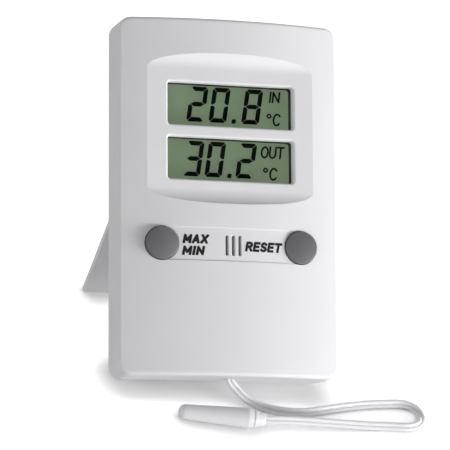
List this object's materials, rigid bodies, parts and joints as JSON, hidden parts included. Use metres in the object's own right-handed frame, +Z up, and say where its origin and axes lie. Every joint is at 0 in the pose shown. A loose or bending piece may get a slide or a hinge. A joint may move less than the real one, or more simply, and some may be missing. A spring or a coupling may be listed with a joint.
{
  "type": "maximum minimum thermometer",
  "caption": "Digital maximum and minimum thermometer with a bowed case, recessed indoor and outdoor displays, memory and reset buttons, folding prop and wired outdoor probe.",
  "frame": {"origin": "centre of the flat land along the lower rear edge of the case, where the thermometer rests on the table", "axes": "+Z up from the table, +X to the right of someone reading the display, +Y away from them; the case leans back 45 degrees on its opened prop, with the display facing -Y and +Z"},
  "size_m": [0.0988, 0.1012, 0.0904],
  "materials": {
    "case_white": "satin moulded",
    "rear_white": "satin moulded",
    "stand_white": "satin moulded",
    "door_white": "satin moulded",
    "button_grey": "satin moulded",
    "legend_ink": "pad printed",
    "lens_clear": "polished clear plastic",
    "polariser_film": "matt film",
    "lcd_glass": "polished",
    "lcd_ground": "diffuse reflector film",
    "lcd_black": "display segment",
    "seal_grey": "cured seal",
    "bezel_black": "moulded",
    "holder_plastic": "moulded",
    "zebra_rubber": "layered elastomer",
    "board_green": "solder resist",
    "epoxy_black": "poured epoxy",
    "crystal_can": "drawn can",
    "resistor_black": "chip body",
    "capacitor_tan": "chip body",
    "bead_epoxy": "dipped bead",
    "switch_black": "moulded",
    "plunger_brown": "moulded",
    "cell_steel": "nickel plated",
    "cell_wrap": "shrink sleeve, unprinted",
    "terminal_steel": "nickel plated",
    "contact_nickel": "nickel plated strip",
    "spring_wire": "drawn wire",
    "wire_red": "insulated",
    "wire_black": "insulated",
    "screw_steel": "plated",
    "screw_zinc": "yellow passivated",
    "bush_rubber": "moulded",
    "lead_white": "soft PVC jacket",
    "core_white": "insulated core",
    "probe_white": "moulded",
    "collar_white": "moulded",
    "tinned_wire": "tinned"
  },
  "bodies": {
    "case": {"front_cover": "case_white", "rear_cover": "rear_white", "printed_legends": "legend_ink", "display_lens": "lens_clear", "lcd_front_polariser": "polariser_film", "lcd_front_glass": "lcd_glass", "lcd_rear_glass": "lcd_glass", "lcd_reflector": "lcd_ground", "lcd_segments": "lcd_black", "lcd_seal": "seal_grey", "lcd_bezel": "bezel_black", "lcd_holder": "holder_plastic", "contact_strips": "zebra_rubber", "circuit_board": "board_green", "chip_blob": "epoxy_black", "crystal": "crystal_can", "chip_resistors": "resistor_black", "chip_capacitors": "capacitor_tan", "room_thermistor": "bead_epoxy", "switch_bodies": "switch_black", "cell_can": "cell_steel", "cell_sleeve": "cell_wrap", "cell_terminal": "terminal_steel", "contact_plate": "contact_nickel", "spring_plate": "contact_nickel", "contact_spring": "spring_wire", "supply_wire_red": "wire_red", "supply_wire_black": "wire_black", "case_screws": "screw_steel", "board_screws": "screw_zinc", "outlet_bush": "bush_rubber", "sensor_lead": "lead_white", "lead_cores": "core_white", "probe_body": "probe_white", "probe_collar": "collar_white", "probe_thermistor": "bead_epoxy", "probe_leads": "tinned_wire"},
    "stand": {"stand": "stand_white"},
    "battery_cover": {"battery_cover": "door_white"},
    "key_maxmin": {"button_maxmin": "button_grey", "plunger_maxmin": "plunger_brown"},
    "key_reset": {"button_reset": "button_grey", "plunger_reset": "plunger_brown"}
  },
  "joints": [
    {"name": "stand_hinge", "type": "hinge", "parent": "case", "child": "stand", "pos_m": [0, 0.03267, 0.03387], "axis": [1, 0, 0], "range_deg": [-62.6, 0]},
    {"name": "battery_cover_hinge", "type": "hinge", "parent": "case", "child": "battery_cover", "pos_m": [0.0012, 0.01796, 0.02185], "axis": [1, 0, 0], "range_deg": [0, 80]},
    {"name": "maxmin_press", "type": "slide", "parent": "case", "child": "key_maxmin", "axis": [0, 0.7071, -0.7071], "range_m": [0, 0.0008], "stiffness_N_per_m": 300},
    {"name": "reset_press", "type": "slide", "parent": "case", "child": "key_reset", "axis": [0, 0.7071, -0.7071], "range_m": [0, 0.0008], "stiffness_N_per_m": 300}
  ]
}
